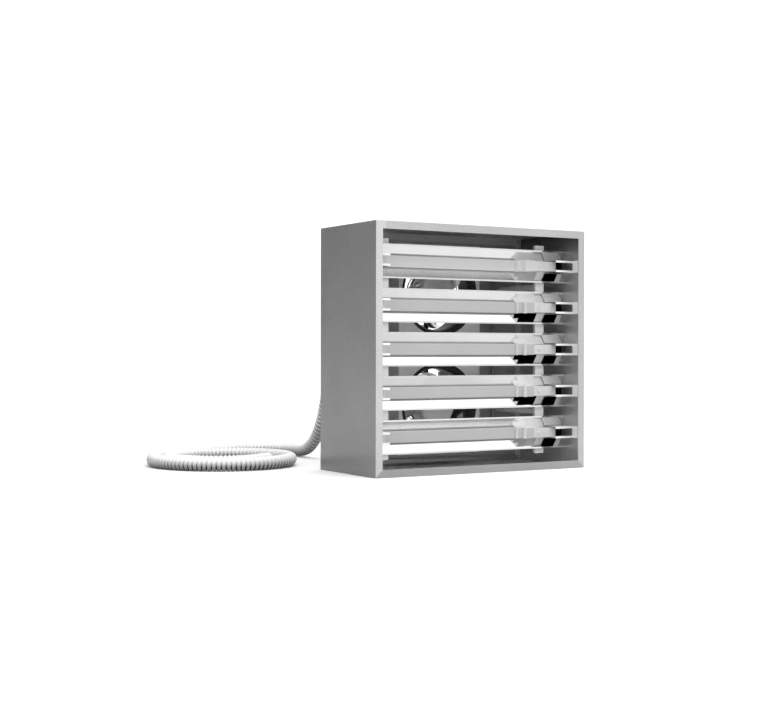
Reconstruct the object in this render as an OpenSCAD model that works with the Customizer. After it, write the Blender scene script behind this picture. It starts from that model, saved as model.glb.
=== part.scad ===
// Infrared panel heater: a sheet steel case with five flat quartz emitters in
// mirror reflectors, two axial fans behind them and a ribbed flexible conduit.
// Millimetres. +Z is up, the open front faces -Y, and the origin is on the
// floor under the middle of the heater.

/* [Case] */
// Width of the case
case_w = 460; // [450:1:520]
// Height of the case
case_h = 450; // [440:1:500]
// Depth of the case
case_d = 205; // [190:1:260]
// Thickness of the case sheet
sheet = 1.5; // [1:0.1:2.5]
// Width of the rim folded round the open front
rim_w = 14; // [10:0.5:18]
// Width of the rear flange that carries the back panel
return_w = 15; // [13:0.5:20]
// Gap between the back panel and the walls round it
panel_gap = 0.5; // [0.2:0.1:1]

/* [Reflectors] */
// Number of emitter modules
module_count = 5; // [1:1:5]
// Height from one module to the next
module_pitch = 79.5; // [72:0.5:82]
// Height of a reflector over its lips
reflector_h = 62; // [56:0.5:68]
// Height of the front facing lip on each edge
lip_h = 3; // [1.5:0.5:5]
// Height of the flat web behind the emitter
web_h = 20; // [16:0.5:24]
// Depth of the trough from lip to web
trough_d = 9.5; // [6:0.5:14]
// Distance of the lips behind the front of the case
lip_depth = 57; // [50:0.5:70]
// Thickness of the reflector sheet
mirror_t = 1; // [0.6:0.1:1.5]
// Gap between a reflector's end and the side wall
reflector_gap = 1; // [0.5:0.1:3]

/* [Emitters] */
// Height of the flat quartz plate
quartz_h = 22; // [20:0.5:24]
// Thickness of the quartz plate
quartz_t = 5; // [4.4:0.2:6]
// Rounding of the quartz plate's edges
quartz_r = 2; // [1:0.1:2.1]
// Gap between the quartz plate and the web behind it
quartz_gap = 0.8; // [0.5:0.1:0.9]
// Bore of each channel in the quartz
channel_d = 2.6; // [2:0.1:2.8]
// Diameter of the heating coil in each channel
coil_wire_d = 1.4; // [1:0.1:1.6]
// Length of the thick end by the lead cap
thick_end_l = 17.5; // [14:0.5:20]
// Length of the step before the thick end
thick_step_l = 13; // [10:0.5:16]
// Depth of the step before the thick end
thick_step_t = 12.5; // [10:0.5:15]
// Depth of the thick end, the lead cap and the terminal block, which are flush
lead_depth = 22.5; // [20:0.5:26]
// Distance of the quartz's plain end from the case's left side
plain_inset = 49; // [48:0.5:54]
// Distance of the quartz's lead end from the case's right side
lead_inset = 85; // [83:0.5:87]
// Height of the ceramic caps
cap_h = 18.2; // [16:0.1:20]
// Depth of the ceramic caps at the plain end
cap_t = 16; // [15:0.5:18]
// Length of the cap at the plain end
plain_cap_l = 24; // [20:1:28]
// Length of the cap at the lead end
lead_cap_l = 23.5; // [22:0.5:24]
// Length of the terminal block beyond the lead cap
block_l = 27.5; // [25:0.5:29]
// Diameter of the cap screws
cap_screw_d = 4; // [3:0.5:4]

/* [End brackets] */
// Length of a right hand bracket inwards from the side wall
bracket_l = 42.5; // [38:0.5:47]
// Length of a left hand bracket inwards from the side wall
bracket_left_l = 45.5; // [38:0.5:47]
// Thickness of the bracket plate
bracket_t = 2; // [1:0.1:2.5]
// Distance of the bracket's lips behind the front of the case
bracket_depth = 30; // [24:0.5:34]
// Height of the bracket's front lips
bracket_lip = 4.2; // [3:0.2:6]
// Reach of the bracket's foot along the side wall in front of its lips
bracket_foot = 16.5; // [10:0.5:20]
// Gap between a bracket's flange and the ceramic in it
bracket_gap = 0.2; // [0.1:0.1:0.5]

/* [Rails] */
// Distance of each rail's middle from the case's side
rail_inset = 55.5; // [54:0.5:56]
// Width of a rail
rail_w = 20; // [16:0.5:22]
// Depth of a rail's folded sides
rail_side = 6.5; // [4:0.5:10]
// Length of a rail beyond the outer reflectors' lips
rail_over = 10; // [4:1:20]
// Diameter of the posts that carry the rails
post_d = 12; // [10:0.5:16]
// Diameter of the rivets through the reflectors
rivet_d = 4; // [3:0.5:5]

/* [Fans] */
// Distance between the two fans' shafts
fan_spacing = 220; // [214:1:226]
// Outer diameter of a fan frame
fan_d = 176; // [172:1:180]
// Depth of a fan frame
fan_t = 51; // [45:1:60]
// Diameter of the fan frame's throat
throat_d = 146; // [142:1:146]
// Diameter over the blade tips
tip_d = 140; // [120:1:143]
// Diameter of the rotor cup
rotor_d = 76; // [60:1:84]
// Number of blades
blade_count = 5; // [3:1:7]
// Pitch of the blades from the plane of the fan
blade_pitch = 38; // [25:1:45]
// Diameter of the rotor shaft
shaft_d = 8; // [6:0.5:10]
// Running gap between shaft and bearing, on the radius
shaft_gap = 0.08; // [0.03:0.01:0.09]
// Width of the tray that covers the fans' fronts
tray_w = 184; // [182:1:188]
// Thickness of the tray sheet
tray_t = 1.5; // [1:0.1:2]
// Width of the tray's feet
tray_foot = 8; // [6:0.5:9]

/* [Guards] */
// Wire diameter of the finger guards
guard_wire = 2.5; // [2:0.1:3]
// Height of a guard behind the back panel
guard_rise = 5; // [5:0.5:9]
// Number of rings in a guard
guard_rings = 6; // [3:1:7]

/* [Conduit] */
// Outer diameter of the conduit
conduit_d = 25; // [24:0.5:27]
// Depth of the conduit's ribs
rib_depth = 1.3; // [0.6:0.1:1.8]
// Bore of the conduit
conduit_bore = 19; // [14:0.5:20]
// Place of the gland from the middle of the case
gland_x = -121; // [-124:1:-118]
// Height of the gland over the middle of the case
gland_up = 40; // [36:1:44]
// Length of the gland outside the back panel
gland_l = 30; // [26:1:34]
// Diameter of the gland's thread
gland_thread_d = 24; // [20:0.5:26]
// Radius at which the coil starts
coil_r = 144; // [142:1:148]
// Inward step of the coil for each turn
coil_step = 37; // [36:0.5:38]
// Number of turns in the coil
coil_turns = 1.42; // [1.2:0.02:1.5]
// Length of the fitting on the conduit's free end
end_fitting_l = 20; // [16:1:22]

/* [Screws] */
// Diameter of the back panel and fan screws
screw_d = 4; // [3:0.5:4.5]
// Gap round a screw in its hole, on the radius
screw_gap = 0.2; // [0.1:0.05:0.4]
// Diameter of a screw head
head_d = 8; // [6:0.5:9]
// Height of a screw head
head_h = 2.2; // [1.5:0.1:2.4]

/* [Hidden] */
$fn = 64;
full_d = case_d + guard_rise;
front_y = -full_d / 2;
rear_y = front_y + case_d;
panel_face = rear_y - sheet;
wall_x = case_w / 2 - sheet;
mid_z = case_h / 2;
module_zs = [for (i = [1 : module_count]) mid_z + ((module_count + 1) / 2 - i) * module_pitch];
screw_hole = screw_d + 2 * screw_gap;

// Reflectors, from the lips back to the rails
lip_y = front_y + lip_depth;
web_y = lip_y + trough_d;
rail_y = web_y + mirror_t;
reflector_l = 2 * (wall_x - reflector_gap);

// Emitters sit on the webs
cap_y = web_y - cap_t;
lead_y = web_y - lead_depth;
quartz_y = web_y - quartz_gap - quartz_t / 2;
quartz_left = plain_inset - case_w / 2;
quartz_right = case_w / 2 - lead_inset;
channel_z = quartz_h / 4;
plain_cap_x = quartz_left - plain_cap_l;
block_x = quartz_right + lead_cap_l;
lead_screw_x = quartz_right + lead_cap_l / 2 - 0.5;
plain_screw_x = plain_cap_x + 8;
cap_screw_hole = cap_screw_d + 2 * screw_gap;
cap_nut_h = 3.2;
lead_x = block_x + block_l - 4;
lead_d = 4;

// Brackets hold the caps between their flanges
bracket_in = cap_h / 2 + bracket_gap;
bracket_out = bracket_in + bracket_t;
bracket_y = front_y + bracket_depth;
bracket_back = web_y - 2;

// Rails and posts
rail_low = module_zs[module_count - 1] - reflector_h / 2 - rail_over;
rail_high = module_zs[0] + reflector_h / 2 + rail_over;
post_zs = [module_zs[0] - module_pitch / 2, module_zs[module_count - 1] + module_pitch / 2];
rail_x = case_w / 2 - rail_inset;

// Fans stand on the back panel, behind the tray
fan_zs = [mid_z + fan_spacing / 2, mid_z - fan_spacing / 2];
fan_y = panel_face - fan_t;
tray_y = fan_y - tray_t;
flare = 6;
strut_t = 5;
motor_r = rotor_d / 2 - 6;
rotor_front = fan_y + 4;
rotor_back = panel_face - strut_t - 3;
pot_front = rotor_back - 9;
fan_pcd = fan_d - 10;
tray_low = fan_zs[1] - fan_d / 2 - 2;
tray_high = fan_zs[0] + fan_d / 2 + 2;
fan_screw_angles = [45 : 90 : 315];
loom_d = 7.4;
loom_x = rail_x - 16.5;
loom_y = panel_face - loom_d / 2 - 0.3;

// Strip of terminals under the gland
gland_z = mid_z + gland_up;
strip = [60, 20, 22];
strip_x = gland_x - 51;
strip_z = mid_z - 11;

// Conduit
floor_z = conduit_d / 2;
gland_end = rear_y + gland_l;
coil_c = [gland_x - 220, gland_end + 142];
coil_drift = [-4, 14];
coil_start = 150;
tube_sides = 8;
ribs_per_step = 4;
coil_ribs = 106;

// Places along the riser: across from the gland, behind its end, and height
riser_places = [
    [0, 0, gland_z], [0, 15, gland_z], [0, 30, gland_z], [0, 58, gland_z - 4],
    [0, 85, gland_z - 16], [0, 107, gland_z - 36], [0, 122, gland_z - 61], [0, 133, gland_z - 89],
    [0, 143, gland_z - 117], [0, 153, gland_z - 145], [0, 164, 91], [0, 182, 60],
    [0, 203, 37], [0, 229, 21], [0, 257, 14], [-3, 287, 13],
    [-14, 314, floor_z], [-33, 337, floor_z], [-58, 353, floor_z], [-87, 361, floor_z],
    [-118, 362, floor_z], [-149, 361, floor_z], [-181, 356, floor_z], [-213, 347, floor_z],
    [-244, 333, floor_z], [-273, 313, floor_z], [-298, 288, floor_z]
];

// Extrudes a side view, drawn as (depth, height), along the width
module along_x(length) {
    rotate([90, 0, 90]) linear_extrude(length, center = true) children();
}

// Extrudes a front view, drawn as (width, height), backwards from depth y
module along_y(y, length) {
    translate([0, y + length, 0]) rotate([90, 0, 0]) linear_extrude(length) children();
}

// Round bar along the depth axis
module bar_y(x, y, z, length, d) {
    translate([x, y + length, z]) rotate([90, 0, 0]) cylinder(h = length, d = d);
}

// Case walls: a flat sheet with a mitred front rim and a mitred rear flange
module rim_piece(long, from, to) {
    polygon([[from, from], [to, to], [long - to, to], [long - from, from]]);
}

module wall(long, across_from) {
    translate([across_from, 0, sheet]) cube([long - 2 * across_from, sheet, case_d - sheet]);
    linear_extrude(sheet) rim_piece(long, 0, rim_w);
    translate([0, 0, case_d - 2 * sheet]) linear_extrude(sheet) rim_piece(long, sheet, return_w);
}

// Screw places on the rear flange, in the plane of the back
flange_mid = (sheet + return_w) / 2;
panel_screws = [
    for (x = [-1, 0, 1], z = [-1, 0, 1]) if (x != 0 || z != 0)
        [x * (case_w / 2 - flange_mid), mid_z + z * (mid_z - flange_mid)]
];

module panel_screw_holes() {
    for (p = panel_screws) bar_y(p[0], rear_y - 3 * sheet, p[1], 4 * sheet, screw_hole);
}

module case_top() {
    color("silver") difference() {
        translate([-case_w / 2, front_y, case_h]) rotate([-90, 0, 0]) wall(case_w, sheet);
        panel_screw_holes();
    }
}

module case_bottom() {
    color("silver") difference() {
        translate([case_w / 2, front_y, 0]) rotate([-90, 180, 0]) wall(case_w, sheet);
        panel_screw_holes();
    }
}

module case_side(side) {
    color("darkgray") difference() {
        mirror([side > 0 ? 1 : 0, 0, 0])
            translate([-case_w / 2, front_y, 0]) rotate([-90, -90, 0]) wall(case_h, 0);
        panel_screw_holes();
    }
}

module fan_screw_holes(depth_from, length, d) {
    for (z = fan_zs, a = fan_screw_angles)
        bar_y(fan_pcd / 2 * cos(a), depth_from, z + fan_pcd / 2 * sin(a), length, d);
}

module back_panel() {
    edge = sheet + panel_gap;
    color("dimgray") difference() {
        translate([-case_w / 2 + edge, panel_face, edge]) cube([case_w - 2 * edge, sheet, case_h - 2 * edge]);
        for (z = fan_zs) bar_y(0, panel_face - 1, z, sheet + 2, throat_d + 2 * flare);
        bar_y(gland_x, panel_face - 1, gland_z, sheet + 2, gland_thread_d + 2 * screw_gap);
        panel_screw_holes();
        fan_screw_holes(panel_face - 1, sheet + 2, screw_hole);
    }
}

// Rails: shallow channels, open to the back, with a flush rivet for each reflector
module rail(x) {
    color("lightgray") difference() {
        translate([x - rail_w / 2, rail_y, rail_low]) cube([rail_w, rail_side, rail_high - rail_low]);
        translate([x - rail_w / 2 + sheet, rail_y + sheet, rail_low - 1])
            cube([rail_w - 2 * sheet, rail_side, rail_high - rail_low + 2]);
        for (z = module_zs) bar_y(x, rail_y - 1, z, sheet + 2, rivet_d + 2 * screw_gap);
    }
}

module rail_posts() {
    color("silver") for (x = [-rail_x, rail_x], z = post_zs)
        bar_y(x, rail_y + sheet, z, panel_face - rail_y - sheet, post_d);
}

// Reflector: lips, sloping flanks and a web, folded from one mirror sheet
module reflector_profile() {
    lip_z = reflector_h / 2;
    flank_z = lip_z - lip_h;
    web_z = web_h / 2;
    polygon([
        [lip_y, lip_z], [lip_y, flank_z], [web_y, web_z], [web_y, -web_z], [lip_y, -flank_z], [lip_y, -lip_z],
        [lip_y + mirror_t, -lip_z], [lip_y + mirror_t, -flank_z], [web_y + mirror_t, -web_z],
        [web_y + mirror_t, web_z], [lip_y + mirror_t, flank_z], [lip_y + mirror_t, lip_z]
    ]);
}

module reflector(i) {
    z = module_zs[i - 1];
    color("gainsboro") difference() {
        translate([0, 0, z]) along_x(reflector_l) reflector_profile();
        for (x = [-rail_x, rail_x]) bar_y(x, web_y - 1, z, mirror_t + 2, rivet_d + 2 * screw_gap);
        for (x = [plain_screw_x, lead_screw_x]) bar_y(x, web_y - 1, z, mirror_t + 2, cap_screw_hole);
        bar_y(lead_x, web_y - 1, z, mirror_t + 2, lead_d + 2 * screw_gap);
    }
}

module reflector_rivets() {
    rivet_head_h = 1.8;
    color("gray") for (x = [-rail_x, rail_x], z = module_zs) {
        bar_y(x, web_y, z, mirror_t + sheet, rivet_d);
        bar_y(x, rail_y + sheet, z, rivet_head_h, 2 * rivet_d);
    }
}

// Emitter: a flat quartz plate with two channels and a thick end by the leads
module rounded_bar(h, t, r) {
    square([t - 2 * r, h], center = true);
    square([t, h - 2 * r], center = true);
    for (y = [-1, 1], z = [-1, 1]) translate([y * (t / 2 - r), z * (h / 2 - r)]) circle(r);
}

// Bar of a length and depth, on the web, that ends at the lead cap
module thick_bar(length, depth) {
    translate([quartz_right - length / 2, web_y - depth / 2, 0]) along_x(length) rounded_bar(quartz_h, depth, quartz_r);
}

module emitter(i) {
    length = quartz_right - quartz_left;
    color("whitesmoke") translate([0, 0, module_zs[i - 1]]) difference() {
        union() {
            translate([quartz_left + length / 2, quartz_y, 0]) along_x(length) rounded_bar(quartz_h, quartz_t, quartz_r);
            thick_bar(thick_end_l, lead_depth);
            thick_bar(thick_end_l + thick_step_l, thick_step_t);
        }
        for (z = [-channel_z, channel_z]) translate([quartz_left - 1, quartz_y, z]) rotate([0, 90, 0])
            cylinder(h = length + 2, d = channel_d);
    }
}

// The coils reach into a blind seat in the ceramic at each end
coil_seat = 4;

module coil_rods(z, d) {
    for (c = [-channel_z, channel_z])
        translate([quartz_left - coil_seat, quartz_y, z + c]) rotate([0, 90, 0])
            cylinder(h = quartz_right - quartz_left + 2 * coil_seat, d = d);
}

module heating_coils() {
    color("peru") for (z = module_zs) coil_rods(z, coil_wire_d);
}

module ceramic(x, y, length, depth, z) {
    translate([x, y, z - cap_h / 2]) cube([length, depth, cap_h]);
}

module plain_caps() {
    color("linen") for (z = module_zs) difference() {
        ceramic(plain_cap_x, cap_y, plain_cap_l, cap_t, z);
        bar_y(plain_screw_x, cap_y - 1, z, cap_t + 2, cap_screw_hole);
        coil_rods(z, coil_wire_d + screw_gap);
    }
}

module lead_cap(i) {
    z = module_zs[i - 1];
    color("linen") difference() {
        ceramic(quartz_right, lead_y, lead_cap_l, lead_depth, z);
        bar_y(lead_screw_x, lead_y - 1, z, lead_depth + 2, cap_screw_hole);
        coil_rods(z, coil_wire_d + screw_gap);
    }
}

module terminal_block(i) {
    color("linen") ceramic(block_x, lead_y, block_l, lead_depth, module_zs[i - 1]);
}

module cap_screws() {
    color("gray") for (screw = [[plain_screw_x, cap_t], [lead_screw_x, lead_depth]], z = module_zs) {
        bar_y(screw[0], web_y - screw[1], z, screw[1] + mirror_t + cap_nut_h, cap_screw_d);
        bar_y(screw[0], web_y - screw[1] - head_h, z, head_h, 1.75 * cap_screw_d);
    }
}

module cap_nuts() {
    color("gray") for (x = [plain_screw_x, lead_screw_x], z = module_zs) difference() {
        translate([x, rail_y + cap_nut_h, z]) rotate([90, 0, 0]) cylinder(h = cap_nut_h, d = 2 * cap_screw_d, $fn = 6);
        bar_y(x, rail_y - 1, z, cap_nut_h + 2, cap_screw_d + 0.2);
    }
}

// End bracket: two flanges with front lips, joined by a foot on the side wall that reaches past the lips
module bracket(side, i) {
    length = bracket_back - bracket_y;
    reach = side < 0 ? bracket_left_l : bracket_l;
    color("gainsboro") translate([0, 0, module_zs[i - 1]]) mirror([side < 0 ? 1 : 0, 0, 0]) {
        for (m = [0, 1]) mirror([0, 0, m]) {
            translate([wall_x - reach, bracket_y, bracket_in]) cube([reach, length, bracket_t]);
            translate([wall_x - reach, bracket_y, bracket_out - bracket_lip])
                cube([reach, bracket_t, bracket_lip]);
        }
        translate([wall_x - bracket_t, bracket_y - bracket_foot, -bracket_out])
            cube([bracket_t, length + bracket_foot, 2 * bracket_out]);
    }
}

// Tray: a cover over the fans' fronts, with sides and feet on the back panel
module fan_tray() {
    half = tray_w / 2;
    depth = panel_face - tray_y;
    loom_hole = loom_d + 2;
    color("gray") difference() {
        translate([0, 0, tray_low]) linear_extrude(tray_high - tray_low) for (m = [0, 1]) mirror([m, 0, 0]) {
            translate([0, tray_y]) square([half, tray_t]);
            translate([half - tray_t, tray_y]) square([tray_t, depth]);
            translate([half - tray_t, panel_face - tray_t]) square([tray_foot + tray_t, tray_t]);
        }
        for (z = fan_zs) bar_y(0, tray_y - 1, z, tray_t + 2, throat_d + 4 * flare);
        translate([-half - tray_foot - 1, loom_y, mid_z]) rotate([0, 90, 0])
            cylinder(h = 2 * (half + tray_foot + 1), d = loom_hole);
    }
}

// Fan frame: a bell mouthed ring, four struts and the motor pot in one casting
module ring_profile() {
    outer = fan_d / 2;
    throat = throat_d / 2;
    polygon([
        [outer, 0], [outer, fan_t], [throat + 2 * flare, fan_t], [throat + flare, fan_t - 2],
        [throat + 2, fan_t - 6], [throat, fan_t - 12], [throat, 9], [throat + 1.5, 4], [throat + flare, 0]
    ]);
}

module fan_frame(which) {
    z = fan_zs[which];
    color("darkgray") difference() {
        translate([0, panel_face, z]) rotate([90, 0, 0]) {
            rotate_extrude($fn = 96) ring_profile();
            for (a = [0 : 90 : 270]) rotate(a) translate([motor_r - 2, -4, 0])
                cube([throat_d / 2 - motor_r + 4, 8, strut_t]);
            cylinder(h = strut_t, r = rotor_d / 2);
            cylinder(h = panel_face - pot_front, r = motor_r);
        }
        bar_y(0, pot_front - 1, z, panel_face - pot_front - 2, shaft_d + 2 * shaft_gap);
        fan_screw_holes(panel_face - 13, 14, screw_hole);
    }
}

// Impeller: a cup with a shaft, and flat blades set at an angle
module impeller(which) {
    color("gainsboro") translate([0, rotor_back, fan_zs[which]]) rotate([90, 0, 0]) {
        depth = rotor_back - rotor_front;
        shaft_l = panel_face - 6 - rotor_front;
        difference() {
            cylinder(h = depth, d = rotor_d);
            translate([0, 0, -1]) cylinder(h = depth - 3 + 1, d = rotor_d - 8);
        }
        translate([0, 0, depth - shaft_l]) cylinder(h = shaft_l - 1, d = shaft_d);
        intersection() {
            translate([0, 0, 1]) difference() {
                cylinder(h = depth - 2, d = tip_d);
                translate([0, 0, -1]) cylinder(h = depth, d = rotor_d - 2);
            }
            for (b = [0 : blade_count - 1]) rotate(b * 360 / blade_count)
                translate([0, 0, depth / 2]) rotate([blade_pitch, 0, 0])
                    translate([rotor_d / 2 - 6, -22, -0.9]) cube([tip_d / 2, 44, 1.8]);
        }
    }
}

// Finger guard: wire rings on a cross of wires that ends under the fan screws
module fan_guard(which) {
    outer = throat_d / 2 + 4;
    inner = 14;
    wire_y = rear_y + guard_rise - guard_wire / 2;
    color("silver") translate([0, 0, fan_zs[which]]) {
        for (k = [0 : guard_rings - 1]) {
            r = inner + (outer - inner) * k / (guard_rings - 1);
            translate([0, wire_y, 0]) rotate([90, 0, 0]) rotate_extrude() translate([r, 0]) circle(d = guard_wire, $fn = 16);
        }
        difference() {
            for (a = fan_screw_angles) rotate([0, -a, 0]) {
                translate([inner, rear_y + guard_rise - guard_wire, -1.5]) cube([outer - inner, guard_wire, 3]);
                translate([outer - 2, rear_y, -4.5]) cube([fan_pcd / 2 + 7 - outer, guard_rise - guard_wire, 9]);
            }
            for (a = fan_screw_angles)
                bar_y(fan_pcd / 2 * cos(a), rear_y - 1, fan_pcd / 2 * sin(a), guard_rise + 2, screw_hole);
        }
    }
}

// Pan head screws of the back panel, and those that hold guard, panel and fan
module rear_screws() {
    color("gray") {
        for (p = panel_screws) {
            bar_y(p[0], rear_y - 3 * sheet, p[1], 3 * sheet, screw_d);
            bar_y(p[0], rear_y, p[1], head_h, head_d);
        }
        lug = guard_rise - guard_wire;
        fan_screw_l = 12;
        for (z = fan_zs, a = fan_screw_angles) {
            x = fan_pcd / 2 * cos(a);
            h = z + fan_pcd / 2 * sin(a);
            bar_y(x, panel_face - fan_screw_l, h, fan_screw_l + sheet + lug, screw_d);
            bar_y(x, rear_y + lug, h, head_h, 0.8 * head_d);
        }
    }
}

module terminal_strip() {
    color("ivory") translate([strip_x, panel_face - strip[1], strip_z]) cube(strip);
}

// Loom: a bundle up the back panel, with a lead to each terminal block
module wiring_loom() {
    top_z = module_zs[0];
    low_z = module_zs[module_count - 1];
    strip_end = strip_x + strip[0];
    supply_y = panel_face - 15;
    color("saddlebrown") {
        translate([loom_x, loom_y, low_z - 6]) cylinder(h = top_z - low_z + 12, d = loom_d);
        translate([strip_end, loom_y, mid_z]) rotate([0, 90, 0]) cylinder(h = loom_x - strip_end, d = loom_d);
        for (z = module_zs) {
            bar_y(lead_x, web_y, z, loom_y - web_y, lead_d);
            translate([loom_x, loom_y, z]) rotate([0, 90, 0]) cylinder(h = lead_x - loom_x, d = lead_d);
            translate([lead_x, loom_y, z]) sphere(d = lead_d);
        }
        translate([gland_x, supply_y, strip_z + strip[2]]) cylinder(h = gland_z - strip_z - strip[2], d = loom_d);
        bar_y(gland_x, supply_y, gland_z, 22, loom_d);
        translate([gland_x, supply_y, gland_z]) sphere(d = loom_d);
    }
}

// Gland: thread through the panel, hexagon, body and a tapered nose for the conduit
module gland_body() {
    nose = conduit_d / 2 + 3;
    color("silver") difference() {
        translate([gland_x, rear_y, gland_z]) rotate([-90, 0, 0]) {
            translate([0, 0, -sheet - 10]) cylinder(h = sheet + 11, d = gland_thread_d);
            cylinder(h = 7, d = 40, $fn = 6);
            translate([0, 0, 7]) cylinder(h = gland_l - 15, r = nose);
            translate([0, 0, gland_l - 8]) cylinder(h = 8, r1 = nose, r2 = conduit_d / 2 + 1);
        }
        bar_y(gland_x, rear_y - sheet - 11, gland_z, gland_l + sheet + 12, conduit_bore);
    }
}

module gland_locknut() {
    nut_t = 5;
    color("silver") difference() {
        translate([gland_x, panel_face, gland_z]) rotate([90, 0, 0]) cylinder(h = nut_t, d = 33, $fn = 6);
        bar_y(gland_x, panel_face - nut_t - 1, gland_z, nut_t + 2, gland_thread_d + 0.2);
    }
}

// Point at share t between b and c on a smooth curve through a, b, c and d
function smooth(a, b, c, d, t) =
    0.5 * (2 * b + (c - a) * t + (2 * a - 5 * b + 4 * c - d) * t * t + (3 * b - a - 3 * c + d) * t * t * t);

function settle(p) = [p[0], p[1], max(p[2], floor_z)];

function pick(list, i) = list[max(0, min(len(list) - 1, i))];

// The riser's centre line, two points to a rib, with a straight end on the coil's tangent
coil_dir = [-sin(coil_start), cos(coil_start), 0];
coil_first = [coil_c[0] + coil_r * cos(coil_start), coil_c[1] + coil_r * sin(coil_start), floor_z];
meeting = coil_first - conduit_d * coil_dir;
riser_points = concat(
    [for (p = riser_places) [gland_x + p[0], gland_end + p[1], p[2]]],
    [meeting - conduit_d * coil_dir, meeting]
);
riser_steps = 2 * ribs_per_step;
riser_last = len(riser_points) - 2;
riser_line = concat(
    [for (i = [0 : riser_last - 1], j = [0 : riser_steps - 1])
        settle(smooth(pick(riser_points, i - 1), pick(riser_points, i), pick(riser_points, i + 1),
                      pick(riser_points, i + 2), j / riser_steps))],
    [for (j = [0 : riser_steps]) riser_points[riser_last] + conduit_d * j / riser_steps * coil_dir]
);

// The coil's centre line: a straight start, a steady inward spiral whose middle drifts, and a straight end
coil_turn = 360 * coil_turns;
function coil_at(a) = let (r = coil_r - coil_step * a / 360, t = coil_start + a, c = coil_c + coil_drift * a / 360)
    [c[0] + r * cos(t), c[1] + r * sin(t), floor_z];
coil_last = coil_at(coil_turn);
end_angle = coil_start + coil_turn;
end_dir = [-sin(end_angle), cos(end_angle), 0];
coil_spiral_steps = 2 * coil_ribs - 12;
coil_line = concat(
    [for (j = [0 : 5]) meeting + conduit_d * j / 6 * coil_dir],
    [for (j = [0 : coil_spiral_steps]) coil_at(coil_turn * j / coil_spiral_steps)],
    [for (j = [1 : 6]) coil_last + conduit_d * j / 6 * end_dir]
);
coil_end = coil_last + conduit_d * end_dir;

// A ring round point i of a line, square to the line, with one side kept level
function way(line, i) = pick(line, i + 1) - pick(line, i - 1);
function unit(v) = v / norm(v);
function level(v) = norm([v[0], v[1]]) > 0.001 ? unit([-v[1], v[0], 0]) : [-1, 0, 0];
function ring(line, i, r) = let (t = unit(way(line, i)), s = level(t), u = cross(t, s))
    [for (k = [0 : tube_sides - 1]) let (a = 360 * k / tube_sides) line[i] + r * (cos(a) * s + sin(a) * u)];

// Triangles between rings first and first + 1 of a list of rings, outwards or inwards
function band(first, second, out) = [
    for (k = [0 : tube_sides - 1]) let (n = (k + 1) % tube_sides) each out
        ? [[first + k, second + n, first + n], [first + k, second + k, second + n]]
        : [[first + k, first + n, second + n], [first + k, second + n, second + k]]
];

// A ribbed tube with a bore: the outside zigzags between crest and root
module ribbed_tube(line, bore_every) {
    last = len(line) - 1;
    bore_ids = concat([for (i = [0 : bore_every : last - 1]) i], [last]);
    outer = [for (i = [0 : last]) each ring(line, i, conduit_d / 2 - (i % 2 == 0 ? 0 : rib_depth))];
    inner = [for (i = bore_ids) each ring(line, i, conduit_bore / 2)];
    base = len(outer);
    final = len(bore_ids) - 1;
    polyhedron(concat(outer, inner), concat(
        [for (i = [0 : last - 1]) each band(i * tube_sides, (i + 1) * tube_sides, true)],
        [for (i = [0 : final - 1]) each band(base + i * tube_sides, base + (i + 1) * tube_sides, false)],
        band(base, 0, true),
        band(last * tube_sides, base + final * tube_sides, true)
    ), convexity = 10);
}

// Least gap of the coil to itself and to the riser, measured on the centre lines
coil_gap = min([
    for (i = [0 : 4 : len(coil_line) - 1], j = [i + 60 : 2 : len(coil_line) - 1])
        if (j < len(coil_line)) norm(coil_line[i] - coil_line[j])
]) - conduit_d;
riser_gap = min([
    for (i = [0 : 4 : len(riser_line) - 20], j = [60 : 2 : len(coil_line) - 1])
        norm(riser_line[i] - coil_line[j])
]) - conduit_d;
echo(coil_gap = coil_gap, riser_gap = riser_gap);

module conduit_riser() {
    color("lightgray") ribbed_tube(riser_line, 8);
}

module conduit_coil() {
    color("lightgray") ribbed_tube(coil_line, 6);
}

module conduit_end_fitting() {
    collar = conduit_d - 2;
    color("silver") translate(coil_end) rotate([0, 90, end_angle + 90]) difference() {
        union() {
            cylinder(h = end_fitting_l * 0.6, d = collar);
            cylinder(h = end_fitting_l, d = collar - 3);
        }
        translate([0, 0, -1]) cylinder(h = end_fitting_l - 2, d = conduit_bore - 4);
    }
}

case_top();
case_bottom();
case_side(-1);  // case_left
case_side(1);  // case_right
back_panel();
rail(-rail_x);  // rail_left
rail(rail_x);  // rail_right
rail_posts();
for (i = [1 : module_count]) {
    reflector(i);
    emitter(i);
    lead_cap(i);
    terminal_block(i);
    bracket(-1, i);
    bracket(1, i);
}
plain_caps();
heating_coils();
reflector_rivets();
cap_screws();
cap_nuts();
fan_tray();
fan_frame(0);  // fan_frame_upper
fan_frame(1);  // fan_frame_lower
impeller(0);  // impeller_upper
impeller(1);  // impeller_lower
fan_guard(0);  // fan_guard_upper
fan_guard(1);  // fan_guard_lower
rear_screws();
terminal_strip();
wiring_loom();
gland_body();
gland_locknut();
conduit_riser();
conduit_coil();
conduit_end_fitting();
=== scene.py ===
"""Looks of the infrared heater: finishes, screws, fans, wiring and the ribbed conduit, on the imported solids.

Metres, in the solids' own frame: +Z is up, the open front faces -Y, and the floor is at Z = 0.
"""

import math

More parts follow.
